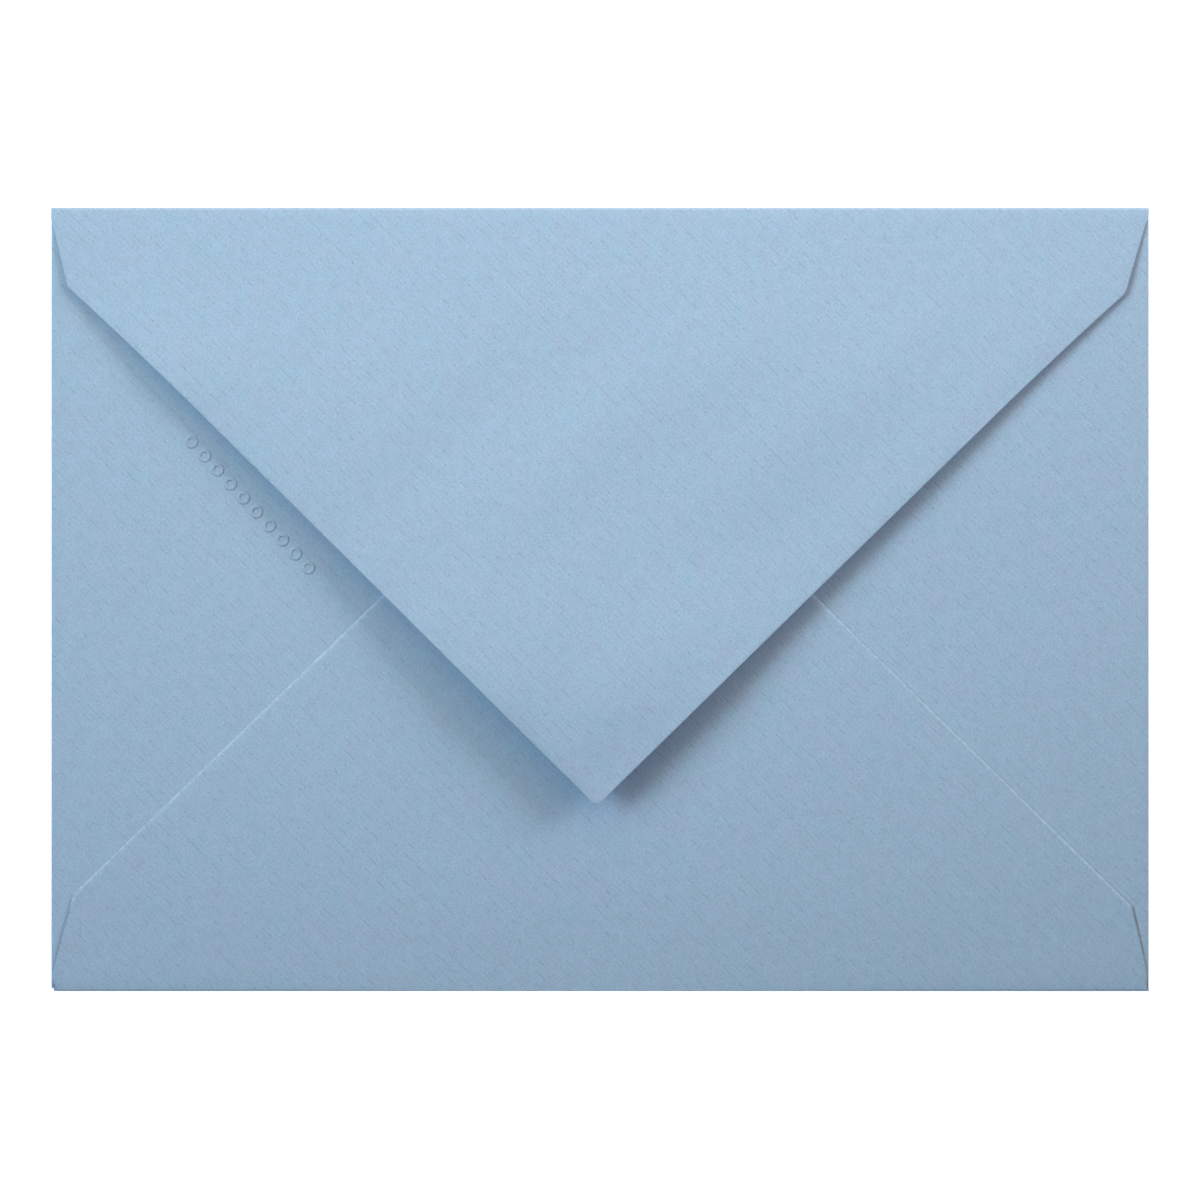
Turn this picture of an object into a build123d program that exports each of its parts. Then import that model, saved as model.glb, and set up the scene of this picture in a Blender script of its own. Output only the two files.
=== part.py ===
from build123d import *
from math import cos, radians, sin
import os

# A paper envelope with four pointed flaps, folded from one sheet.
#
# The envelope lies on its front panel with its back upwards. The side flaps
# are folded in first, the bottom flap is folded up over them and gummed to
# them, and the top flap is folded down last. The top flap isn't stuck, so its
# fold springs, and its tip stands a few millimetres clear of the back.
#
# Millimetres. The origin is at the middle of the footprint, on the surface
# that the envelope lies on. +X runs along the long side, +Y towards the fold
# of the top flap, and +Z up out of the back.

# ---- driving dimensions ----------------------------------------------------

length = 161.0  # over the two side folds
height = 114.9  # over the top and bottom folds
paper = 0.15  # thickness of the sheet
pocket_gap = 0.35  # clear space between the front panel and the side flaps
flap_clearance = 0.10  # under the top flap at its fold, over the side flaps
flap_spring = 3.3  # degrees by which the top flap rises from its fold

# The side folds stop short of the corners, so that no two folds cross.
top_relief = 1.0  # end of the side folds below the top edge
bottom_relief = 1.0  # end of the side folds above the bottom edge

# A flap is given in plan. Each of its two edges runs along the side of the
# envelope for a little (start), leans inwards to its shoulder (inwards from
# the end of the fold, and down from the fold), and goes straight to the tip.
top_reach = 87.6  # fold to the point where the straight edges meet
top_offset = -0.5  # the tip is a little left of the middle
top_tip_radius = 1.0
top_left = dict(start=1.7, inwards=2.9, down=11.2, radius=1.0)
top_right = dict(start=0.9, inwards=3.9, down=12.1, radius=2.5)
top_bow = 0.6  # how far the long edges swell outwards at the shoulders
top_bow_length = 28.0  # how much of each long edge swells

bottom_reach = 88.8
bottom_offset = 0.0
bottom_tip_radius = 7.0
bottom_left = dict(start=3.7, inwards=3.0, down=14.3, radius=1.5)
bottom_right = dict(start=3.4, inwards=2.1, down=12.4, radius=1.5)
bottom_round = (0.9, 2.0)  # the corner at the fold's left end, across and up

side_reach = 64.8
side_tip_radius = 5.0
side_edge = dict(start=0.8, inwards=2.7, down=11.0, radius=3.0)

# ---- sizes that follow -----------------------------------------------------

# A fold is a half-round bend, as wide inside as what its flap has to clear:
# the side flaps clear the pocket, the bottom flap lies on the side flaps, and
# the top flap passes over the side flaps with its clearance.
side_inner = pocket_gap / 2
bottom_inner = (pocket_gap + paper) / 2
top_inner = (pocket_gap + paper + flap_clearance) / 2

side_bend = side_inner + paper  # what a bend adds beyond the flat panel
bottom_bend = bottom_inner + paper
top_bend = top_inner + paper

half_length = length / 2
half_height = height / 2
side_fold_low = -half_height + bottom_relief
side_fold_high = half_height - top_relief

up = Vector(0, 0, 1)
tall = 50.0  # height of the prisms that cut flaps to their outlines


# ---- front panel -----------------------------------------------------------


def front_panel():
    """The flat front, which reaches past the ends of the side folds."""
    low = -half_height + bottom_bend
    high = half_height - top_bend
    from_corner = (Align.MIN, Align.MIN, Align.MIN)
    panel = Pos(-half_length, low, 0) * Box(length, high - low, paper, align=from_corner)
    fold_length = side_fold_high - side_fold_low
    for inner_edge in (-half_length, half_length - side_bend):
        place = Pos(inner_edge, side_fold_low, 0)
        panel -= place * Box(side_bend, fold_length, paper, align=from_corner)
    return panel


# ---- folds and flaps -------------------------------------------------------


def fold_section(inner, reach, spring):
    """Section across a fold: the bend, and the flap running back from it.

    The bend starts from the edge of the flat panel, at the section's origin.
    """
    outer = inner + paper
    middle = (0, outer)
    outside = CenterArc(middle, outer, -90, 180 - spring)
    inside = CenterArc(middle, inner, -90, 180 - spring)
    along = Vector(-cos(radians(spring)), sin(radians(spring))) * reach
    top = outside @ 1
    under = inside @ 1
    return make_face(
        [
            outside,
            Line(top, top + along),
            Line(top + along, under + along),
            Line(under + along, under),
            inside,
            Line((0, paper), (0, 0)),
        ]
    )


def folded_strip(inwards, along, edge, inner, reach, spring, low, high):
    """A fold's section drawn out between two places along the envelope's edge."""
    panel_edge = edge - inner - paper
    section_plane = Plane(
        origin=along * ((low + high) / 2) - inwards * panel_edge,
        x_dir=-inwards,
        z_dir=(-inwards).cross(up),
    )
    section = section_plane * fold_section(inner, reach, spring)
    return extrude(section, amount=(high - low) / 2, both=True)


def shoulder_points(sign, half_width, edge, tip, bow, bow_length):
    """The points of one edge of a flap, from the end of the fold inwards."""
    corner = Vector(sign * half_width, 0)
    lean = Vector(sign * half_width, edge["start"])
    straight_end = Vector(sign * (half_width - edge["inwards"]), edge["down"])
    from_tip = (straight_end - tip).normalized()
    outwards = Vector(-from_tip.Y, from_tip.X) * sign
    shoulder = straight_end + outwards * bow
    bow_start = straight_end - from_tip * bow_length
    return corner, lean, shoulder, bow_start, from_tip


def flap_outline(half_width, reach, offset, left, right, tip_radius, bow=0, bow_length=0):
    """A pointed flap in plan: x along its fold, and y away from the fold."""
    tip = Vector(offset, reach)
    edges = []
    shoulders = []
    for sign, edge in ((-1, left), (1, right)):
        points = shoulder_points(sign, half_width, edge, tip, bow, bow_length)
        corner, lean, shoulder, bow_start, from_tip = points
        edges.append(Polyline((0, 0), corner, lean, shoulder))
        if bow:
            edges.append(TangentArc(bow_start, shoulder, tangent=from_tip))
            edges.append(Line(bow_start, tip))
        else:
            edges.append(Line(shoulder, tip))
        shoulders.append((shoulder, edge["radius"]))
    face = make_face(edges)
    for corner, radius in [(tip, tip_radius)] + shoulders:
        nearest = face.vertices().sort_by_distance(corner)[0]
        face = fillet(nearest, radius)
    return face


def cut_to_outline(strip, outline, inwards, along, edge):
    """Keep what of a strip lies inside a flap's outline."""
    plan = Plane(origin=-inwards * edge, x_dir=along, z_dir=along.cross(inwards))
    return strip & extrude(plan * outline, amount=tall, both=True)


def side_flap(inwards):
    """A flap folded in from a short side, with its tip at mid height."""
    along = Vector(0, 1, 0)
    strip = folded_strip(
        inwards, along, half_length, side_inner, side_reach, 0, side_fold_low, side_fold_high
    )
    half_fold = (side_fold_high - side_fold_low) / 2
    outline = flap_outline(half_fold, side_reach, 0, side_edge, side_edge, side_tip_radius)
    fold_middle = (side_fold_high + side_fold_low) / 2
    return cut_to_outline(strip, Pos(fold_middle, 0) * outline, inwards, along, half_length)


def bottom_flap():
    """The flap folded up from below, which lies on the side flaps.

    Past the corner it is only as wide as the flat panel, because the side
    folds fall away under it.
    """
    inwards = Vector(0, 1, 0)
    along = Vector(1, 0, 0)
    strip = folded_strip(
        inwards, along, half_height, bottom_inner, bottom_reach, 0, -half_length, half_length
    )
    half_width = half_length - side_bend
    outline = flap_outline(
        half_width,
        bottom_reach,
        bottom_offset,
        bottom_left,
        bottom_right,
        bottom_tip_radius,
    )
    across, rise = bottom_round
    from_corner = (Align.MIN, Align.MIN)
    nick = Rectangle(across, rise, align=from_corner) - Pos(across, rise) * Ellipse(across, rise)
    outline -= Pos(-half_width, 0) * nick
    outline += Pos(half_width, 0) * Rectangle(side_bend, bottom_relief, align=from_corner)
    return cut_to_outline(strip, outline, inwards, along, half_height)


def top_flap():
    """The long flap that closes the envelope, sprung up from its fold."""
    inwards = Vector(0, -1, 0)
    along = Vector(1, 0, 0)
    strip = folded_strip(
        inwards, along, half_height, top_inner, top_reach, flap_spring, -half_length, half_length
    )
    outline = flap_outline(
        half_length,
        top_reach,
        top_offset,
        top_left,
        top_right,
        top_tip_radius,
        top_bow,
        top_bow_length,
    )
    return cut_to_outline(strip, outline, inwards, along, half_height)


# ---- the folded sheet ------------------------------------------------------


def folded_sheet():
    """One sheet: the panel, its four flaps, and the gummed seams fused."""
    sheet = front_panel()
    sheet += side_flap(Vector(1, 0, 0))
    sheet += side_flap(Vector(-1, 0, 0))
    sheet += bottom_flap()
    sheet += top_flap()
    return sheet


os.makedirs("parts", exist_ok=True)
export_step(folded_sheet(), "parts/folded_sheet.step")
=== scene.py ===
# %% [markdown]
# # A laid-paper envelope
#
# An envelope looks like a flat thing, but it is one sheet with a shape: a
# blank with four points, folded four times and gummed along two seams. This
# lesson makes it the same way round. We cut the flat blank, fold it with
# Geometry Nodes, give it the thickness of paper, and only then colour it. The
# pattern of the paper is laid out on the flat blank, so it runs round every
# fold just as it does on the real sheet.

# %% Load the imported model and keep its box
import math

import bmesh
import bpy
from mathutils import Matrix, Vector, noise


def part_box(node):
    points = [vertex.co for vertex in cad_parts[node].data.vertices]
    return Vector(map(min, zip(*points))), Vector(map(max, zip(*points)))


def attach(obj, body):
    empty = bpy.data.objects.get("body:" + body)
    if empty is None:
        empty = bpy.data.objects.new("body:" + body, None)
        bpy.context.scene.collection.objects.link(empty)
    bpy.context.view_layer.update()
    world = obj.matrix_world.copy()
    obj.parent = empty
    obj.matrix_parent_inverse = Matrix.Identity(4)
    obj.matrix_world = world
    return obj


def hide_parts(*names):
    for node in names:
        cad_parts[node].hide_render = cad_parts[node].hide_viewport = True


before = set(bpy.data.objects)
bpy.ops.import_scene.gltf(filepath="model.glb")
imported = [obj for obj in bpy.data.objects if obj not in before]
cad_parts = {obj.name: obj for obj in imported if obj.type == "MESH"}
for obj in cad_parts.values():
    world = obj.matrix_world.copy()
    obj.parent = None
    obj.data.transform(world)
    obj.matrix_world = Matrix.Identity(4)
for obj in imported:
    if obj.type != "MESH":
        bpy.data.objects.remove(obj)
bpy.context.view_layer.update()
MM = 0.001
low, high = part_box("folded_sheet")
half_length = high[0] / MM
half_height = high[1] / MM
print(f"envelope {2 * half_length:.1f} by {2 * half_height:.1f} mm")

# %% [markdown]
# ## Sizes of the sheet and its flaps
#
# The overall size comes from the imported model. The rest are the sizes of the
# blank, in millimetres, the same as in the part's own source. A flap is given
# in plan: how far it reaches from its fold, where its tip is, and for each of
# its two edges where it starts to lean in and where its shoulder is.

# %% Paper, folds and flap sizes
PAPER = 0.15
POCKET_GAP = 0.35
FLAP_CLEARANCE = 0.10
FLAP_SPRING = math.radians(3.3)
TOP_RELIEF = 1.0
BOTTOM_RELIEF = 1.0
SEAM_GAP = 0.01

SIDE_EDGE = dict(start=0.8, inwards=2.7, down=11.0, radius=3.0)
FLAPS = {
    "left": dict(
        number=1, outward=(-1, 0), inner=POCKET_GAP / 2, spring=0.0, reach=64.8, offset=0.0,
        tip_radius=5.0, low_edge=SIDE_EDGE, high_edge=SIDE_EDGE, bow=0.0, bow_length=1.0,
    ),
    "right": dict(
        number=2, outward=(1, 0), inner=POCKET_GAP / 2, spring=0.0, reach=64.8, offset=0.0,
        tip_radius=5.0, low_edge=SIDE_EDGE, high_edge=SIDE_EDGE, bow=0.0, bow_length=1.0,
    ),
    "bottom": dict(
        number=3, outward=(0, -1), inner=(POCKET_GAP + PAPER + SEAM_GAP) / 2, spring=0.0,
        reach=88.8, offset=0.0, tip_radius=7.0,
        low_edge=dict(start=3.7, inwards=3.0, down=14.3, radius=1.5),
        high_edge=dict(start=3.4, inwards=2.1, down=12.4, radius=1.5), bow=0.0, bow_length=1.0,
    ),
    "top": dict(
        number=4, outward=(0, 1), inner=(POCKET_GAP + PAPER + FLAP_CLEARANCE) / 2,
        spring=FLAP_SPRING, reach=87.6, offset=-0.5, tip_radius=1.0,
        low_edge=dict(start=1.7, inwards=2.9, down=11.2, radius=1.0),
        high_edge=dict(start=0.9, inwards=3.9, down=12.1, radius=2.5), bow=0.6, bow_length=28.0,
    ),
}
BOTTOM_ROUND = (0.9, 2.0)

for flap in FLAPS.values():
    flap["bend"] = flap["inner"] + PAPER
    flap["radius"] = flap["inner"] + PAPER / 2
    flap["turn"] = math.pi - flap["spring"]
    flap["edge"] = half_length if flap["outward"][0] else half_height
    flap["fold_line"] = flap["edge"] - flap["bend"]
side_fold_low = -half_height + BOTTOM_RELIEF
side_fold_high = half_height - TOP_RELIEF
print("fold lines at", {name: round(flap["fold_line"], 3) for name, flap in FLAPS.items()})

# %% [markdown]
# ## Cutting the blank
#
# A paper mill's sheet has no edges of its own: a steel die cuts the outline.
# We do the same. Each flap starts as a strip of small squares, and straight
# cuts trim it to its outline. Every flap's outline bulges outwards, so cutting
# away what lies outside each short side, one after another, leaves exactly
# the flap. The squares stay small and even inside, which lets the paper bend
# and wave later.

# %% Lines of the grid
CELL = 1.5
BEND_STEPS = 12


def spread(start, end, cell):
    """Evenly spaced values from start to end, about a cell apart."""
    count = max(1, round((end - start) / cell))
    return [start + (end - start) * i / count for i in range(count + 1)]


panel_x = spread(-FLAPS["right"]["fold_line"], FLAPS["right"]["fold_line"], CELL)
side_y = spread(side_fold_low, side_fold_high, CELL)
panel_y = [-FLAPS["bottom"]["fold_line"]] + side_y + [FLAPS["top"]["fold_line"]]
wide_x = [-half_length] + panel_x + [half_length]
print(f"{len(panel_x)} by {len(panel_y)} lines on the front panel")

# %% How deep a point of the plan lies on the flat blank


def flat_depth(flap, depth):
    """Distance along the paper from the fold line to a depth seen in plan."""
    arc = flap["radius"] * flap["turn"]
    from_middle = flap["radius"] * math.sin(flap["turn"]) - flap["bend"] + depth
    return arc + max(from_middle, 0.0) / math.cos(flap["spring"])


def plan_depth(flap, distance):
    """Depth seen in plan of a point some way along the paper past the fold."""
    arc = flap["radius"] * flap["turn"]
    angle = min(distance / flap["radius"], flap["turn"])
    reach = flap["radius"] * math.sin(angle) - max(distance - arc, 0.0) * math.cos(flap["spring"])
    return flap["bend"] - reach


# %% The outline of a flap, as points
ARC_STEPS = 6


def round_corner(before, corner, after, radius):
    """Points of the arc that rounds a corner."""
    first = (before - corner).normalized()
    second = (after - corner).normalized()
    opening = first.angle(second)
    back = radius / math.tan(opening / 2)
    middle = corner + (first + second).normalized() * (radius / math.sin(opening / 2))
    start = corner + first * back - middle
    sweep = start.angle_signed(corner + second * back - middle)
    points = []
    for i in range(ARC_STEPS + 1):
        angle = -sweep * i / ARC_STEPS
        turned = Vector(
            (
                start.x * math.cos(angle) - start.y * math.sin(angle),
                start.x * math.sin(angle) + start.y * math.cos(angle),
            )
        )
        points.append(middle + turned)
    return points


def flap_edge(flap, edge, sign, half_width):
    """Plan points of one edge of a flap, from its fold to its shoulder's round."""
    tip = Vector((flap["offset"], flap["reach"]))
    lean = Vector((sign * half_width, edge["start"]))
    shoulder = Vector((sign * (half_width - edge["inwards"]), edge["down"]))
    return [lean] + round_corner(lean, shoulder, tip, edge["radius"])


def flap_outline(flap, half_width):
    """The whole outline in plan, from one end of the fold to the other."""
    low_side = flap_edge(flap, flap["low_edge"], -1, half_width)
    high_side = flap_edge(flap, flap["high_edge"], 1, half_width)
    tip = Vector((flap["offset"], flap["reach"]))
    rounded = round_corner(low_side[-1], tip, high_side[-1], flap["tip_radius"])
    return low_side + rounded + high_side[::-1]


# %% Cut one flap from its strip


def grid(xs, ys):
    """A flat net of squares between the given lines."""
    net = bmesh.new()
    rows = [[net.verts.new((x, y, 0)) for x in xs] for y in ys]
    for low_row, high_row in zip(rows, rows[1:]):
        for i in range(len(xs) - 1):
            net.faces.new((low_row[i], low_row[i + 1], high_row[i + 1], high_row[i]))
    return net


def cut_flap(flap, xs, half_width):
    """A strip of squares past the fold line, cut to the flap's outline."""
    arc = flap["radius"] * flap["turn"]
    depth = flat_depth(flap, flap["reach"])
    net = grid(xs, spread(0, arc, arc / BEND_STEPS) + spread(arc, depth, CELL)[1:])
    points = [Vector((p.x, flat_depth(flap, p.y), 0)) for p in flap_outline(flap, half_width)]
    planes = []
    for start, end in zip(points, points[1:]):
        side = end - start
        if side.length < 1e-6:
            continue
        planes.append((start, Vector((-side.y, side.x, 0)).normalized()))
    for point, normal in planes:
        everything = net.verts[:] + net.edges[:] + net.faces[:]
        bmesh.ops.bisect_plane(
            net, geom=everything, dist=1e-5, plane_co=point, plane_no=normal, clear_outer=True
        )
    return net, planes


def bow_out(flap, net, half_width):
    """Swell the long edges outwards near their shoulders, as the die does."""
    tip = Vector((flap["offset"], flat_depth(flap, flap["reach"])))
    for edge, sign in ((flap["low_edge"], -1), (flap["high_edge"], 1)):
        shoulder = Vector(
            (sign * (half_width - edge["inwards"]), flat_depth(flap, edge["down"]))
        )
        lean = Vector((sign * half_width, flat_depth(flap, edge["start"])))
        from_tip = (shoulder - tip).normalized()
        outwards = Vector((-from_tip.y, from_tip.x)) * sign
        lean_length = (lean - shoulder).dot(from_tip)
        for vert in net.verts:
            away = vert.co.xy - shoulder
            along = away.dot(-from_tip)
            if along > 0:
                share = max(0.0, 1 - along / flap["bow_length"]) ** 2
            else:
                share = max(0.0, 1 + along / lean_length)
            near = max(0.0, 1 + away.dot(outwards) / 12.0)
            shift = outwards * (flap["bow"] * share * near)
            vert.co.x += shift.x
            vert.co.y += shift.y


# %% [markdown]
# ## One sheet
#
# The panel and the four cut flaps are laid out flat and welded where they
# meet on the fold lines. Two things are written on the sheet while it is
# still flat: the number of the flap that each point belongs to, for folding,
# and the distance to the nearest cut, for the soft, paler edge line, partly
# die fuzz and partly painted highlight, and for the painted shadow at the
# shoulders. The UV map is the flat sheet itself, so any pattern drawn on it
# follows the paper.

# %% Lay the pieces out and weld them
BLANK = 300.0


def place(flap, x, depth):
    """A flap's own x and depth, as a place on the flat blank."""
    out_x, out_y = flap["outward"]
    distance = flap["fold_line"] + depth
    if out_x:
        return Vector((out_x * distance, x, 0))
    return Vector((x, out_y * distance, 0))


def corner_limit(flap, distance):
    """Where the rounded corner at the left end of the bottom fold starts."""
    across, rise = BOTTOM_ROUND
    height = min(plan_depth(flap, distance), rise)
    bulge = math.sqrt(max(0.0, 1 - ((rise - height) / rise) ** 2))
    past_upright = distance / (flap["radius"] * flap["turn"]) - 0.5
    settled = min(1.0, max(0.0, past_upright * BEND_STEPS))
    return panel_x[0] + across * (1 - bulge) * settled


def sheet_flap(sheet, name, xs, half_width):
    """Cut a flap and lay it on the blank beside its fold line."""
    flap = FLAPS[name]
    net, planes = cut_flap(flap, xs, half_width)
    if name == "bottom":
        beyond = []
        for face in net.faces:
            middle = face.calc_center_median()
            too_deep = plan_depth(flap, middle.y) > BOTTOM_RELIEF and middle.y > flap["radius"]
            past_upright = middle.y > flap["radius"] * math.pi / 2
            at_left_end = middle.x < panel_x[0] and past_upright
            if at_left_end or (middle.x > panel_x[-1] and too_deep):
                beyond.append(face)
        bmesh.ops.delete(net, geom=beyond, context="FACES")
        for vert in net.verts:
            if vert.co.x < panel_x[1] - CELL / 2:
                vert.co.x = max(vert.co.x, corner_limit(flap, vert.co.y))
    clear = {vert: min((p - vert.co).dot(n) for p, n in planes) for vert in net.verts}
    if flap["bow"]:
        bow_out(flap, net, half_width)
    points = {}
    for vert in net.verts:
        new = sheet.verts.new(place(flap, vert.co.x, vert.co.y))
        new[number_layer] = flap["number"]
        new[cut_layer] = max(0.0, clear[vert])
        points[vert] = new
    for face in net.faces:
        sheet.faces.new([points[vert] for vert in face.verts])
    net.free()


sheet = bmesh.new()
number_layer = sheet.verts.layers.int.new("flap_number")
cut_layer = sheet.verts.layers.float.new("cut_distance")
NO_CUT = 50.0

panel = grid(wide_x, panel_y)
corners = []
for face in panel.faces:
    middle = face.calc_center_median()
    beyond_fold = abs(middle.x) > panel_x[-1]
    if beyond_fold and side_fold_low < middle.y < side_fold_high:
        corners.append(face)
bmesh.ops.delete(panel, geom=corners, context="FACES")
copies = {}
for vert in panel.verts:
    copies[vert] = sheet.verts.new(vert.co)
    copies[vert][cut_layer] = NO_CUT
for face in panel.faces:
    sheet.faces.new([copies[vert] for vert in face.verts])
panel.free()

sheet_flap(sheet, "left", side_y, (side_fold_high - side_fold_low) / 2)
sheet_flap(sheet, "right", side_y, (side_fold_high - side_fold_low) / 2)
sheet_flap(sheet, "bottom", wide_x, panel_x[-1])
sheet_flap(sheet, "top", wide_x, half_length)
bmesh.ops.remove_doubles(sheet, verts=sheet.verts[:], dist=0.002)
bmesh.ops.recalc_face_normals(sheet, faces=sheet.faces[:])
if sheet.faces[0].normal.z < 0:
    bmesh.ops.reverse_faces(sheet, faces=sheet.faces[:])

uv_layer = sheet.loops.layers.uv.new("blank")
for face in sheet.faces:
    for loop in face.loops:
        place_on_blank = loop.vert.co / BLANK
        loop[uv_layer].uv = (place_on_blank.x + 0.5, place_on_blank.y + 0.5)
print(f"blank: {len(sheet.verts)} points, {len(sheet.faces)} faces")
print("edges with one face:", sum(len(edge.link_faces) == 1 for edge in sheet.edges),
      "with three or more:", sum(len(edge.link_faces) > 2 for edge in sheet.edges))
for vert in sheet.verts:
    vert.co *= MM
blank_mesh = bpy.data.meshes.new("blank")
sheet.to_mesh(blank_mesh)
sheet.free()
blank = bpy.data.objects.new("blank", blank_mesh)
bpy.context.scene.collection.objects.link(blank)

# %% [markdown]
# ## Folding by rule
#
# A fold is one rule: paper past the fold line first follows a round bend and
# then runs straight on, without stretching. Geometry Nodes hold such a rule
# well. One tree is built below, and it is used four times, once for each
# flap, with the flap's own fold line, radius and turn. The flaps are folded
# in the order of the envelope machine: sides, bottom, top.

# %% A short way to build node trees


class Tree:
    """Adds nodes to a tree and links them, so that a formula reads like one."""

    def __init__(self, tree):
        self.tree = tree

    def node(self, kind, inputs=(), **settings):
        """A node with its settings made and its inputs filled or linked."""
        made = self.tree.nodes.new(kind)
        for name, value in settings.items():
            setattr(made, name, value)
        for key, value in dict(inputs).items():
            self.feed(made.inputs[key], value)
        return made

    def feed(self, socket, value):
        """Link an output to a socket, or set the socket to a plain value."""
        if isinstance(value, bpy.types.NodeSocket):
            self.tree.links.new(value, socket)
        else:
            socket.default_value = value

    def math(self, operation, *values):
        """One step of arithmetic."""
        made = self.tree.nodes.new("ShaderNodeMath")
        made.operation = operation
        for socket, value in zip(made.inputs, values):
            self.feed(socket, value)
        return made.outputs[0]

    def vector(self, operation, *values, out=0):
        """One step of arithmetic on vectors."""
        made = self.tree.nodes.new("ShaderNodeVectorMath")
        made.operation = operation
        for socket, value in zip(made.inputs, values):
            self.feed(socket, value)
        return made.outputs[out]

    def between(self, value, start, end, low=0.0, high=1.0):
        """A soft step from low to high as a value goes from start to end."""
        made = self.node(
            "ShaderNodeMapRange",
            {0: value, 1: start, 2: end, 3: low, 4: high},
            interpolation_type="SMOOTHSTEP",
        )
        return made.outputs[0]


def geometry_tree(name, inputs):
    """An empty Geometry Nodes tree with named inputs, and its group nodes."""
    group = bpy.data.node_groups.new(name, "GeometryNodeTree")
    group.interface.new_socket("Geometry", in_out="INPUT", socket_type="NodeSocketGeometry")
    for label, kind in inputs.items():
        group.interface.new_socket(label, in_out="INPUT", socket_type=kind)
    group.interface.new_socket("Geometry", in_out="OUTPUT", socket_type="NodeSocketGeometry")
    tree = Tree(group)
    return group, tree, tree.node("NodeGroupInput"), tree.node("NodeGroupOutput")


def finish_geometry(tree, given, geometry, output):
    """End a tree with real geometry that carries its material."""
    real = tree.node("GeometryNodeRealizeInstances", {"Geometry": geometry})
    coated = tree.node(
        "GeometryNodeSetMaterial",
        {"Geometry": real.outputs["Geometry"], "Material": given.outputs["Material"]},
    )
    tree.feed(output.inputs["Geometry"], coated.outputs["Geometry"])


def add_modifier(piece, group, values):
    """Put a tree on a piece, and set its inputs by their sockets' identifiers."""
    modifier = piece.modifiers.new(group.name, "NODES")
    modifier.node_group = group
    for item in group.interface.items_tree:
        if item.in_out == "INPUT" and item.name in values:
            modifier[item.identifier] = values[item.name]
    return modifier


def settle(piece, name):
    """Turn a piece with its modifiers into a plain mesh of its own."""
    bpy.context.view_layer.update()
    seen = piece.evaluated_get(bpy.context.evaluated_depsgraph_get())
    mesh = bpy.data.meshes.new_from_object(seen)
    mesh.name = name
    made = bpy.data.objects.new(name, mesh)
    bpy.context.scene.collection.objects.link(made)
    bpy.data.objects.remove(piece)
    return made


# %% The rule of a fold, as a tree
fold_group, fold, given, result = geometry_tree(
    "fold_a_flap",
    {
        "Flap number": "NodeSocketInt",
        "Outward": "NodeSocketVector",
        "Fold line": "NodeSocketFloat",
        "Bend radius": "NodeSocketFloat",
        "Turn": "NodeSocketFloat",
        "Material": "NodeSocketMaterial",
    },
)
position = fold.node("GeometryNodeInputPosition").outputs[0]
number = fold.node("GeometryNodeInputNamedAttribute", {"Name": "flap_number"}, data_type="INT")
mine = fold.node(
    "FunctionNodeCompare",
    {2: number.outputs[0], 3: given.outputs["Flap number"]},
    data_type="INT",
    operation="EQUAL",
)
outward, radius = given.outputs["Outward"], given.outputs["Bend radius"]
turn = given.outputs["Turn"]
reach = fold.vector("DOT_PRODUCT", position, outward, out="Value")
past = fold.math("SUBTRACT", reach, given.outputs["Fold line"])
angle = fold.math("MINIMUM", fold.math("DIVIDE", past, radius), turn)
straight = fold.math("SUBTRACT", past, fold.math("MULTIPLY", radius, angle))
out_bend = fold.math("MULTIPLY", radius, fold.math("SINE", angle))
up_bend = fold.math("MULTIPLY", radius, fold.math("SUBTRACT", 1.0, fold.math("COSINE", angle)))
out_run = fold.math("MULTIPLY", straight, fold.math("COSINE", angle))
up_run = fold.math("MULTIPLY", straight, fold.math("SINE", angle))
move_out = fold.math("SUBTRACT", fold.math("ADD", out_bend, out_run), past)
move_up = fold.node("ShaderNodeCombineXYZ", {"Z": fold.math("ADD", up_bend, up_run)}).outputs[0]
sideways = fold.node("ShaderNodeVectorMath", {0: outward, 3: move_out}, operation="SCALE")
moved = fold.node(
    "GeometryNodeSetPosition",
    {
        "Geometry": given.outputs["Geometry"],
        "Selection": mine.outputs[0],
        "Offset": fold.vector("ADD", sideways.outputs[0], move_up),
    },
)
finish_geometry(fold, given, moved.outputs["Geometry"], result)
print(f"fold tree: {len(fold_group.nodes)} nodes")

# %% Fold the four flaps
paper = bpy.data.materials.new("laid_paper")
for name in ("left", "right", "bottom", "top"):
    flap = FLAPS[name]
    values = {
        "Flap number": flap["number"],
        "Outward": (*map(float, flap["outward"]), 0.0),
        "Fold line": flap["fold_line"] * MM,
        "Bend radius": flap["radius"] * MM,
        "Turn": flap["turn"],
        "Material": paper,
    }
    add_modifier(blank, fold_group, values)
folded = settle(blank, "folded_sheet_paper")
heights = [vert.co.z / MM for vert in folded.data.vertices]
print(f"folded: {len(heights)} points, highest {max(heights):.2f} mm above the panel's middle")

# %% [markdown]
# ## Relaxing the paper
#
# A mathematically flat flap looks like sheet metal. Real paper stands off its
# ideal plane by a tenth or two of a millimetre, in long soft waves, and it is
# pulled down a little where it rolls into a fold. The back moves as one, since
# its flaps are gummed together, and it sinks a little behind the middle of
# the bottom fold. The top flap is free, so it waves more the further it is
# from its fold, and it curls up a little before its tip. The front panel lies
# flat on the table.

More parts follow.
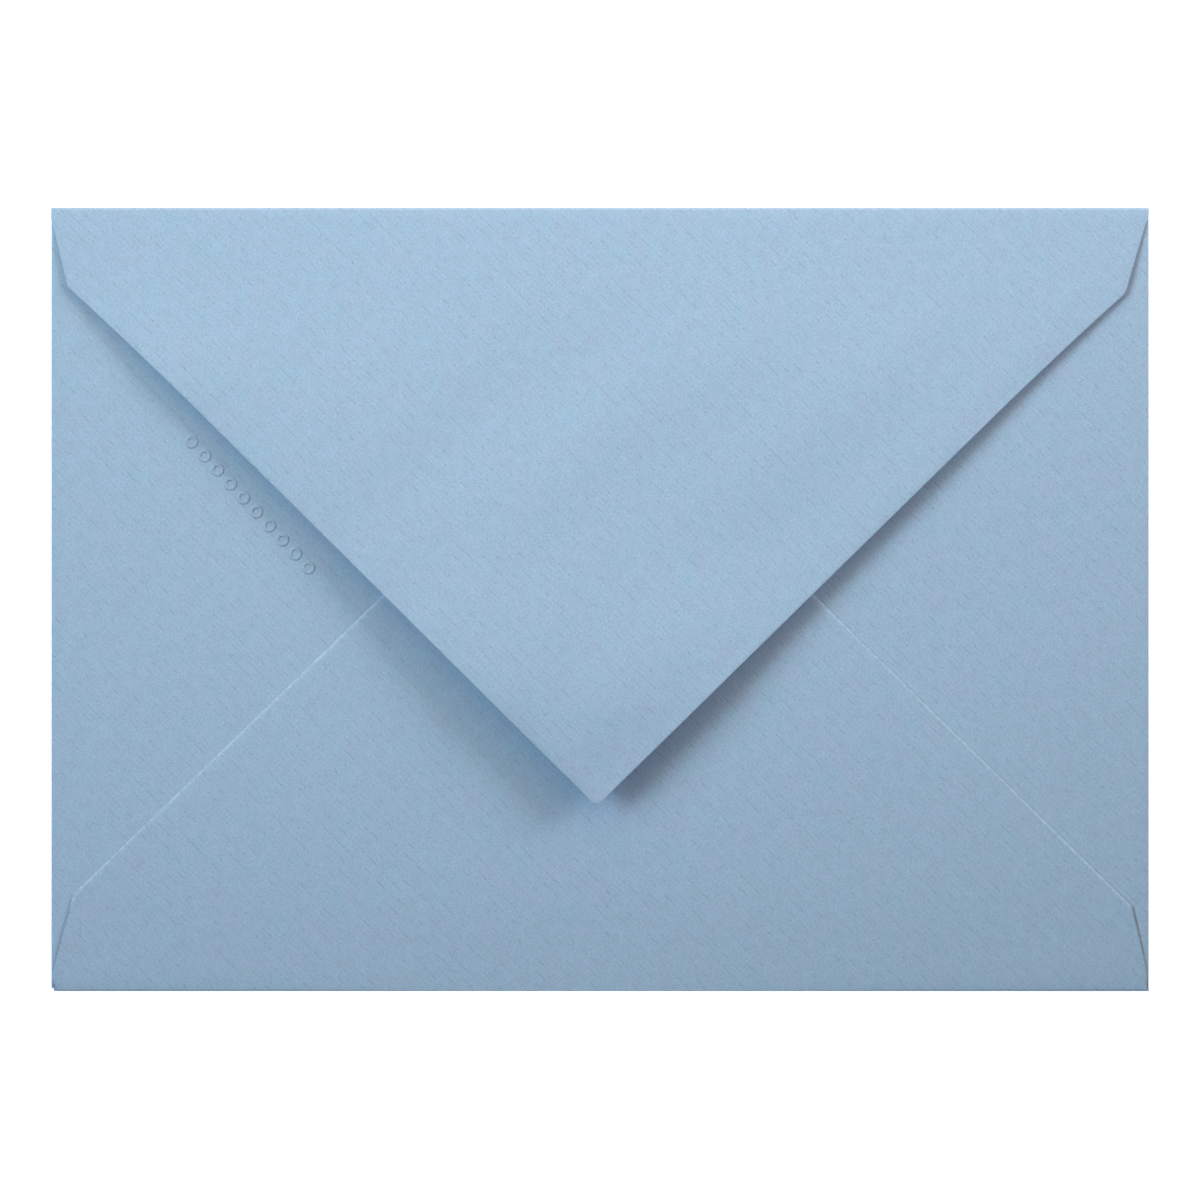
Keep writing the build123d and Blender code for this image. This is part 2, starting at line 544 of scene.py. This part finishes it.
# %% Move the points off their ideal planes
BACK_WAVE = 0.09
BACK_WAVE_LENGTH = 34.0
TOP_WAVE = 0.30
TOP_WAVE_LENGTH = 30.0
SHOULDER_LIFT = 0.10
SHOULDER_DOWN = 11.0
SHOULDER_LENGTH = 9.0
SHOULDER_WIDTH = 4.0
ROLL = 0.10
ROLL_WIDTH = 1.6
TOP_ROLL = 0.04
TOP_ROLL_WIDTH = 1.1
HOLLOW = 0.32
HOLLOW_WIDTH = 15.0
HOLLOW_SPREAD = 50.0
TOP_BAND = 0.26
TOP_BAND_LENGTH = 13.0
TOP_CURL = 0.80
TOP_SWELL = 1.1
SWELL_MIDDLE = (-66.0, 32.0)
SWELL_SPREAD = (24.0, 16.0)
EDGE_DROP = 0.09


def soft(value, width):
    """A smooth step from 0 to 1 over a width."""
    share = min(max(value / width, 0.0), 1.0)
    return share * share * (3 - 2 * share)


def wave(x, y, length, stretch, seed):
    """Long soft waves of a sheet, between about -1 and 1."""
    stretched = Vector(((x + y) / length / stretch, (x - y) / length, seed))
    return 1.6 * noise.noise(stretched)


def back_height(x, y):
    """How the gummed back stands off its plane."""
    inside = min(half_length - abs(x), half_height - abs(y))
    above_fold = half_height + y
    rolled = ROLL * (1 - soft(above_fold, ROLL_WIDTH))
    hollow = HOLLOW * (1 - soft(above_fold, HOLLOW_WIDTH)) * math.exp(-((x / HOLLOW_SPREAD) ** 2))
    free = soft(inside - 0.5, 9.0)
    return BACK_WAVE * wave(x, y, BACK_WAVE_LENGTH, 1.6, 3.1) * free - rolled - hollow


def shoulder_lift(y, cut):
    """The ungummed shoulders of the bottom flap lift a little."""
    along_edge = abs(y + half_height - SHOULDER_DOWN)
    near = (1 - soft(along_edge, SHOULDER_LENGTH)) * (1 - soft(cut, SHOULDER_WIDTH))
    return SHOULDER_LIFT * near


def top_height(x, y, cut):
    """How the free top flap stands off its plane."""
    depth = half_height - y
    freedom = soft(depth - 1.0, 30.0)
    swell_x = (x - SWELL_MIDDLE[0]) / SWELL_SPREAD[0]
    swell_y = (y - SWELL_MIDDLE[1]) / SWELL_SPREAD[1]
    swell = TOP_SWELL * math.exp(-(swell_x**2) - swell_y**2)
    waves = TOP_WAVE * wave(x, y, TOP_WAVE_LENGTH, 1.6, 8.7)
    waves += TOP_BAND * wave(x, y, TOP_BAND_LENGTH, 4.0, 2.3)
    curl = TOP_CURL * (soft(depth - 46.0, 28.0) - 0.65 * soft(depth - 72.0, 14.0))
    rolled = TOP_ROLL * (1 - soft(depth, TOP_ROLL_WIDTH))
    edge = EDGE_DROP * (1 - soft(cut, 3.0)) * soft(depth - 4.0, 10.0)
    return (waves + swell) * freedom + curl - rolled - edge


flap_numbers = folded.data.attributes["flap_number"].data
cuts = folded.data.attributes["cut_distance"].data
bend_tops = {flap["number"]: 2 * flap["radius"] * MM for flap in FLAPS.values()}
for vert, number, cut in zip(folded.data.vertices, flap_numbers, cuts):
    if number.value not in bend_tops:
        continue
    x, y = vert.co.x / MM, vert.co.y / MM
    over_bend = min(1.0, vert.co.z / bend_tops[number.value]) ** 2
    if number.value == 4:
        vert.co.z += top_height(x, y, cut.value) * over_bend * MM
    else:
        vert.co.z += back_height(x, y) * over_bend * MM
    if number.value == 3:
        vert.co.z += shoulder_lift(y, cut.value) * MM

# %% [markdown]
# ## Fibres on the cut edge
#
# A steel die never cuts clean: here and there a fibre is left standing out of
# the edge. A second tree finds the edges that have a face on one side only,
# turns those of the top flap into a line, scatters points along it, keeps a
# few and sets a short bent fibre on each.

# %% A tree that grows fibres along the free edge
fibre_group, hair, given, result = geometry_tree(
    "edge_fibres",
    {
        "Spacing": "NodeSocketFloat",
        "Share left out": "NodeSocketFloat",
        "Fibre length": "NodeSocketFloat",
        "Fibre radius": "NodeSocketFloat",
        "Seed": "NodeSocketInt",
        "Material": "NodeSocketMaterial",
    },
)
faces_beside = hair.node("GeometryNodeInputMeshEdgeNeighbors").outputs["Face Count"]
free = hair.node(
    "FunctionNodeCompare", {2: faces_beside, 3: 1}, data_type="INT", operation="EQUAL"
)
which = hair.node("GeometryNodeInputNamedAttribute", {"Name": "flap_number"}, data_type="INT")
on_top = hair.node(
    "FunctionNodeCompare", {2: which.outputs[0], 3: 4}, data_type="INT", operation="EQUAL"
)
both = hair.node(
    "FunctionNodeBooleanMath", {0: free.outputs[0], 1: on_top.outputs[0]}, operation="AND"
)
rim = hair.node(
    "GeometryNodeMeshToCurve", {"Mesh": given.outputs["Geometry"], "Selection": both.outputs[0]}
)
spots = hair.node(
    "GeometryNodeCurveToPoints",
    {"Curve": rim.outputs[0], "Length": given.outputs["Spacing"]},
    mode="LENGTH",
)
chance = hair.node("FunctionNodeRandomValue", {"Seed": given.outputs["Seed"]}, data_type="FLOAT")
dropped = hair.node(
    "FunctionNodeCompare",
    {0: chance.outputs[1], 1: given.outputs["Share left out"]},
    data_type="FLOAT",
    operation="LESS_THAN",
)
kept = hair.node(
    "GeometryNodeDeleteGeometry",
    {"Geometry": spots.outputs["Points"], "Selection": dropped.outputs[0]},
    domain="POINT",
)
fibre_end = hair.node("ShaderNodeCombineXYZ", {"Z": given.outputs["Fibre length"]}).outputs[0]
stalk = hair.node("GeometryNodeCurvePrimitiveLine", {"End": fibre_end})
stalk = hair.node("GeometryNodeResampleCurve", {"Curve": stalk.outputs[0], "Count": 6})
stalk_place = hair.node("GeometryNodeInputPosition").outputs[0]
along_stalk = hair.node("ShaderNodeSeparateXYZ", {0: stalk_place}).outputs["Z"]
squared = hair.math("POWER", along_stalk, 2.0)
bend = hair.math("DIVIDE", squared, given.outputs["Fibre length"])
bent = hair.node(
    "GeometryNodeSetPosition",
    {
        "Geometry": stalk.outputs[0],
        "Offset": hair.node("ShaderNodeCombineXYZ", {"X": bend}).outputs[0],
    },
)
section = hair.node(
    "GeometryNodeCurvePrimitiveCircle",
    {"Resolution": 5, "Radius": given.outputs["Fibre radius"]},
)
fibre = hair.node(
    "GeometryNodeCurveToMesh",
    {"Curve": bent.outputs[0], "Profile Curve": section.outputs[0], "Fill Caps": True},
)
turned = hair.node(
    "FunctionNodeRandomValue",
    {0: (1.1, 0.0, 0.0), 1: (2.0, 0.6, 2 * math.pi), "Seed": given.outputs["Seed"]},
    data_type="FLOAT_VECTOR",
)
grown = hair.node(
    "GeometryNodeInstanceOnPoints",
    {"Points": kept.outputs[0], "Instance": fibre.outputs[0], "Rotation": turned.outputs[0]},
)
finish_geometry(hair, given, grown.outputs[0], result)
print(f"fibre tree: {len(fibre_group.nodes)} nodes")

# %% Grow the fibres
for vert in folded.data.vertices:
    vert.co.z += PAPER / 2 * MM
fibre_base = bpy.data.objects.new("fibre_base", folded.data.copy())
bpy.context.scene.collection.objects.link(fibre_base)
fibre_values = {
    "Spacing": 1.0 * MM,
    "Share left out": 0.90,
    "Fibre length": 0.75 * MM,
    "Fibre radius": 0.022 * MM,
    "Seed": 5,
    "Material": paper,
}
add_modifier(fibre_base, fibre_group, fibre_values)
fibres = settle(fibre_base, "fibres")
print(f"fibres: {len(fibres.data.vertices)} points")

# %% [markdown]
# ## The thickness of the sheet
#
# Up to now the sheet has had no thickness: it is the surface half-way
# through the paper. Solidify grows it by half a thickness each way, which is
# what keeps the layers touching and not crossing, and a very small bevel
# rounds the cut edges so that they catch the light. The fibres then join it,
# since they are the same paper.

# %% Give the paper its thickness and soft edges
CUT_ROUND = 0.045

thicken = folded.modifiers.new("thickness", "SOLIDIFY")
thicken.thickness = PAPER * MM
thicken.offset = 0.0
thicken.use_even_offset = True
bevel = folded.modifiers.new("soft_edges", "BEVEL")
bevel.width = CUT_ROUND * MM
bevel.segments = 2
bevel.limit_method = "ANGLE"
bevel.angle_limit = math.radians(60)
sheet_piece = settle(folded, "laid_sheet")
joined = bmesh.new()
joined.from_mesh(sheet_piece.data)
joined.from_mesh(fibres.data)
joined.to_mesh(sheet_piece.data)
joined.free()
bpy.data.objects.remove(fibres)
for polygon in sheet_piece.data.polygons:
    polygon.use_smooth = True
sheet_piece.data.set_sharp_from_angle(angle=math.radians(50))
sheet_piece.data.materials.clear()
sheet_piece.data.materials.append(paper)
triangles = sum(len(p.vertices) - 2 for p in sheet_piece.data.polygons)
print(f"sheet: {triangles} triangles")

# %% [markdown]
# ## Laid paper
#
# Laid paper is made on a mould of fine parallel wires, and each wire leaves a
# thin groove. Seen close, the grooves are broken: fibres bridge them here and
# there. The pulp is cloudy, and a pale blue one drifts between a greener and
# a more violet blue. All of this is drawn in millimetres on the flat blank,
# with the wires at 45 degrees to the envelope's sides.

# %% Colours and scales of the paper
PAPER_BLUE = (0.385, 0.505, 0.655)
GREEN_TINT = (0.978, 1.009, 1.003)
VIOLET_TINT = (1.032, 0.990, 1.000)
# Colour of the pale seam line: white fibres of the cut, and partly a painted highlight.
FUZZ_AND_HIGHLIGHT_WHITE = (0.54, 0.66, 0.79)
WIRE_PITCH = 1.41
CHAIN_PITCH = 24.0
GROOVE_DEPTH = 0.016
CHAIN_HEIGHT = 0.010
STAMP_HEIGHT = 0.12
FELT_DEPTH = 0.030
DASH_DEPTH = 0.012

# %% Where a point lies on the blank, along and across the wires
paper.use_nodes = True
paper.node_tree.nodes.clear()
shade = Tree(paper.node_tree)
blank_uv = shade.node("ShaderNodeUVMap", uv_map="blank").outputs[0]
centred = shade.vector("SUBTRACT", blank_uv, (0.5, 0.5, 0.0))
on_blank = shade.vector("MULTIPLY", centred, (BLANK, BLANK, 0.0))
DIAGONAL = math.sqrt(0.5)
across = shade.vector("DOT_PRODUCT", on_blank, (DIAGONAL, -DIAGONAL, 0.0), out="Value")
along = shade.vector("DOT_PRODUCT", on_blank, (DIAGONAL, DIAGONAL, 0.0), out="Value")


def cloud(across_size, along_size, seed, detail=2.0, roughness=0.5):
    """Noise between about 0 and 1, with its own size across and along the wires."""
    place = shade.node(
        "ShaderNodeCombineXYZ",
        {
            "X": shade.math("DIVIDE", across, across_size),
            "Y": shade.math("DIVIDE", along, along_size),
            "Z": seed,
        },
    )
    made = shade.node(
        "ShaderNodeTexNoise",
        {"Vector": place.outputs[0], "Scale": 1.0, "Detail": detail, "Roughness": roughness},
    )
    return made.outputs[0]


def stripes(coordinate, pitch, sharpness):
    """Narrow lines, 1 on each line and 0 between, a pitch apart."""
    turns = shade.math("MULTIPLY", coordinate, 2 * math.pi / pitch)
    hump = shade.math("MULTIPLY_ADD", shade.math("COSINE", turns), 0.5, 0.5)
    return shade.math("POWER", hump, sharpness)


# %% Grooves of the wires, broken by fibres
wander = shade.math("MULTIPLY_ADD", cloud(6.0, 9.0, 1.0), 0.9, across)
main_lines = stripes(wander, WIRE_PITCH, 8.0)
half_lines = stripes(wander, WIRE_PITCH / 2, 5.0)
lines = shade.math("MULTIPLY_ADD", half_lines, 0.5, main_lines)
broken = shade.between(cloud(0.45, 1.1, 4.0, 2.0), 0.46, 0.62, 0.05, 1.0)
grooves = shade.math("MULTIPLY", lines, broken)
chains = shade.math("MULTIPLY", stripes(along, CHAIN_PITCH, 260.0), 0.3)

# %% Short creases, felt and cloudy pulp
dashes = shade.between(cloud(0.20, 0.85, 9.0, 1.0), 0.62, 0.74)
cross_dashes = shade.between(cloud(0.8, 0.20, 12.0, 1.0), 0.64, 0.78)
felt = cloud(0.27, 0.31, 20.0, 2.0, 0.6)
pulp = cloud(1.6, 2.2, 30.0, 4.0, 0.6)
hue = shade.between(cloud(4.0, 5.5, 40.0, 4.0, 0.65), 0.36, 0.64)
print("pattern made of", len(paper.node_tree.nodes), "nodes so far")

# %% [markdown]
# ## A blind stamp
#
# Makers press a small mark into the side flap with no ink. Here it is a plain
# row of small rings, raised by about a tenth of a millimetre, beside the edge
# of the top flap.

# %% A row of pressed rings on the left flap
STAMP_MIDDLE = (-109.8, 13.9)
STAMP_ALONG = (-0.68, -0.733)
STAMP_HALF = 14.0
RING_PITCH = 2.8
RING_RADIUS = 0.72
from_stamp = shade.vector("SUBTRACT", on_blank, (*STAMP_MIDDLE, 0.0))
row = shade.vector("DOT_PRODUCT", from_stamp, (*STAMP_ALONG, 0.0), out="Value")
side = shade.vector("DOT_PRODUCT", from_stamp, (-STAMP_ALONG[1], STAMP_ALONG[0], 0.0), out="Value")
ring_turn = shade.math("FRACT", shade.math("DIVIDE", row, RING_PITCH))
from_middle = shade.math("MULTIPLY", shade.math("SUBTRACT", ring_turn, 0.5), RING_PITCH)
ring_place = shade.node("ShaderNodeCombineXYZ", {"X": from_middle, "Y": side}).outputs[0]
ring_distance = shade.vector("LENGTH", ring_place, out="Value")
from_ring = shade.math("ABSOLUTE", shade.math("SUBTRACT", ring_distance, RING_RADIUS))
rings = shade.between(from_ring, 0.10, 0.34, 1.0, 0.0)
in_row = shade.math("LESS_THAN", shade.math("ABSOLUTE", row), STAMP_HALF)
stamp = shade.math("MULTIPLY", rings, in_row)

# %% [markdown]
# ## Seams and edges
#
# The bottom flap is gummed along its two slants, where the die's fuzz and a
# painted highlight show as a paler line. Its shoulders aren't gummed: they
# stand off a little, and a painted shadow draws their edge as a fine dark
# line. Both follow the distance to the nearest cut.

# %% The pale slants, partly painted highlight, and the painted shadow at the shoulders of the bottom flap
FUZZ_AND_HIGHLIGHT_WIDTH = 0.6
SHADE_WIDTH = 0.24
SHOULDER_FADE = (-71.0, -69.5)
cut_distance = shade.node("ShaderNodeAttribute", attribute_name="cut_distance").outputs["Fac"]
flap_of_point = shade.node("ShaderNodeAttribute", attribute_name="flap_number").outputs["Fac"]
on_bottom = shade.math("COMPARE", flap_of_point, 3.0, 0.4)
near_cut = shade.math("MULTIPLY_ADD", cut_distance, -1 / FUZZ_AND_HIGHLIGHT_WIDTH, 1.0)
near_cut = shade.math("POWER", shade.math("MAXIMUM", near_cut, 0.0), 2.0)
fuzz = shade.between(cloud(0.8, 0.8, 50.0, 2.0), 0.35, 0.62, 0.45, 1.35)
blank_y = shade.node("ShaderNodeSeparateXYZ", {0: on_blank}).outputs["Y"]
on_shoulder = shade.math("MULTIPLY", shade.between(blank_y, *SHOULDER_FADE), on_bottom)
on_slant = shade.math("SUBTRACT", on_bottom, on_shoulder)
# Paler line on the slants: die fuzz, and partly a painted highlight.
seam_fuzz_and_highlight = shade.math("MULTIPLY", shade.math("MULTIPLY", near_cut, on_slant), fuzz)
# Painted shadow: a fine dark line where the lifted shoulders stand off.
at_cut = shade.math("MULTIPLY_ADD", cut_distance, -1 / SHADE_WIDTH, 1.0)
at_cut = shade.math("MAXIMUM", at_cut, 0.0)
shoulder_painted_shadow = shade.math("MULTIPLY", at_cut, on_shoulder)
print(f"seams: {FUZZ_AND_HIGHLIGHT_WIDTH} mm of fuzz on the slants, {SHADE_WIDTH} mm of shade at the shoulders")

# %% Colour of the paper: its hue, then how light it is
PLAIN_LIGHT = 0.653
PULP_SHARE = 0.19
FELT_SHARE = 0.56
# Grooves are darker partly for their thinner pulp and partly as painted shade inside the groove.
GROOVE_SHADE_AND_PULP = 0.07
DASH_DARK = 0.07
CROSS_DARK = 0.03
CHAIN_PALE = 0.02
# Pale seam line: white fibres of the cut, and partly a painted highlight.
SEAM_HIGHLIGHT_AND_FUZZ = 0.15
# Painted shadow under the lifted shoulders of the bottom flap.
SHOULDER_SHADOW_DARK = 0.32
# Painted shade on folds and cut edges, where the surface stands upright.
FOLD_PAINTED_SHADE = 0.38

# Each pattern adds its share to how light the paper is. Where the surface
# turns upright, round a fold or at a cut, painted shade makes the paper
# darker.
tint = shade.node("ShaderNodeMix", data_type="RGBA")
shade.feed(tint.inputs[0], hue)
shade.feed(tint.inputs[6], (*GREEN_TINT, 1.0))
shade.feed(tint.inputs[7], (*VIOLET_TINT, 1.0))
tinted = shade.vector("MULTIPLY", tint.outputs[2], PAPER_BLUE)
# Paler towards white along the slants: fibres of the cut and a painted highlight.
paler = shade.node("ShaderNodeMix", data_type="RGBA")
shade.feed(paler.inputs[0], shade.math("MULTIPLY", seam_fuzz_and_highlight, 0.45))
shade.feed(paler.inputs[6], tinted)
shade.feed(paler.inputs[7], (*FUZZ_AND_HIGHLIGHT_WHITE, 1.0))

light = shade.math("MULTIPLY_ADD", pulp, PULP_SHARE, PLAIN_LIGHT)
for pattern, amount in (
    (felt, FELT_SHARE),
    (grooves, -GROOVE_SHADE_AND_PULP),
    (dashes, -DASH_DARK),
    (cross_dashes, -CROSS_DARK),
    (chains, CHAIN_PALE),
    (seam_fuzz_and_highlight, SEAM_HIGHLIGHT_AND_FUZZ),
    (shoulder_painted_shadow, -SHOULDER_SHADOW_DARK),
):
    light = shade.math("MULTIPLY_ADD", pattern, amount, light)
# Painted shade: the colour is darker where the surface stands upright.
true_normal = shade.node("ShaderNodeNewGeometry").outputs["Normal"]
upright = shade.node("ShaderNodeSeparateXYZ", {0: true_normal}).outputs["Z"]
facing = shade.math("ABSOLUTE", upright)
light = shade.math("MULTIPLY", light, shade.between(facing, 0.15, 0.85, FOLD_PAINTED_SHADE, 1.0))
scaled = shade.node("ShaderNodeVectorMath", {0: paler.outputs[2], 3: light}, operation="SCALE")
colour = scaled.outputs[0]

# %% Relief and finish of the paper
relief = shade.math("MULTIPLY", grooves, -GROOVE_DEPTH)
for pattern, height in (
    (felt, FELT_DEPTH),
    (dashes, -DASH_DEPTH),
    (chains, CHAIN_HEIGHT),
    (stamp, STAMP_HEIGHT),
):
    relief = shade.math("MULTIPLY_ADD", pattern, height, relief)
bump = shade.node("ShaderNodeBump", {"Height": relief, "Strength": 1.0, "Distance": MM})
rough = shade.between(felt, 0.2, 0.8, 0.82, 0.92)

surface = shade.node(
    "ShaderNodeBsdfPrincipled",
    {
        "Base Color": colour,
        "Roughness": rough,
        "Normal": bump.outputs[0],
        "Specular IOR Level": 0.25,
        "Sheen Weight": 0.04,
        "Sheen Roughness": 0.5,
    },
)
shade.node("ShaderNodeOutputMaterial", {"Surface": surface.outputs[0]})
print(f"paper material: {len(paper.node_tree.nodes)} nodes")

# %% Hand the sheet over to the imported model
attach(sheet_piece, "root")
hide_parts("folded_sheet")

# %% [markdown]
# ## Table, light and camera
#
# The envelope lies on a plain white table and is seen from straight above,
# through a long lens from far away, so that its edges stay parallel. Two soft
# lights stand low at its sides: they throw the two shadows of the raised flap
# and rake over the grooves. A warmer, much softer one hangs close over the
# top edge, so that the light falls off towards the bottom.

# %% The table
table_material = bpy.data.materials.new("white_table")
table_material.use_nodes = True
table_surface = table_material.node_tree.nodes["Principled BSDF"]
table_surface.inputs["Base Color"].default_value = (0.93, 0.93, 0.93, 1.0)
table_surface.inputs["Roughness"].default_value = 0.7
table_surface.inputs["Emission Color"].default_value = (1.0, 1.0, 1.0, 1.0)
table_surface.inputs["Emission Strength"].default_value = 0.8
TABLE_HALF = 3.0
TABLE_DROP = 0.02 * MM
table_mesh = bpy.data.meshes.new("table")
table_corners = [(-1, -1), (1, -1), (1, 1), (-1, 1)]
table_mesh.from_pydata(
    [(x * TABLE_HALF, y * TABLE_HALF, -TABLE_DROP) for x, y in table_corners], [], [(0, 1, 2, 3)]
)
table = bpy.data.objects.new("table", table_mesh)
table.data.materials.append(table_material)
bpy.context.scene.collection.objects.link(table)

# %% The lights


def soft_light(name, toward, distance, size, power, beam, aim, colour):
    """A square soft light at a distance in a direction, aimed at a place."""
    lamp = bpy.data.lights.new(name, "AREA")
    lamp.size = size
    lamp.energy = power
    lamp.spread = math.radians(beam)
    lamp.color = colour
    holder = bpy.data.objects.new(name, lamp)
    holder.location = Vector(toward).normalized() * distance
    holder.rotation_euler = (Vector(aim) - holder.location).to_track_quat("-Z", "Y").to_euler()
    bpy.context.scene.collection.objects.link(holder)
    return holder


SKY_WHITE = (0.96, 1.0, 1.04)
COOL_WHITE = (0.735, 1.0, 1.12)
LAMP_WHITE = (1.22, 1.0, 0.67)
soft_light("right_light", (8.0, 5.4, 5.0), 0.70, 0.34, 0.326, 50, (0.02, 0.12, 0), SKY_WHITE)
soft_light("left_light", (-5.6, 2.2, 5.0), 0.70, 0.50, 0.605, 50, (-0.05, 0.12, 0), COOL_WHITE)
soft_light("top_light", (0.0, 5.0, 5.0), 0.30, 0.45, 0.240, 120, (0, 0.05, 0), LAMP_WHITE)

world = bpy.data.worlds.new("studio")
world.use_nodes = True
world.node_tree.nodes["Background"].inputs["Color"].default_value = (0.1, 0.3, 1.0, 1.0)
world.node_tree.nodes["Background"].inputs["Strength"].default_value = 0.04
bpy.context.scene.world = world
bpy.context.scene.view_settings.view_transform = "Standard"

# %% The camera
FRAME_WIDTH = 176.06 * MM
camera = bpy.data.cameras.new("camera")
camera.sensor_width = 36.0
camera.lens = 200.0
camera.clip_end = 20.0
camera_holder = bpy.data.objects.new("camera", camera)
fold_height = 0.4 * MM
camera_height = camera.lens / camera.sensor_width * FRAME_WIDTH
camera_holder.location = (0.0, -0.08 * MM, camera_height + fold_height)
bpy.context.scene.collection.objects.link(camera_holder)
bpy.context.scene.camera = camera_holder
print(f"camera {camera_height:.3f} m above the table")
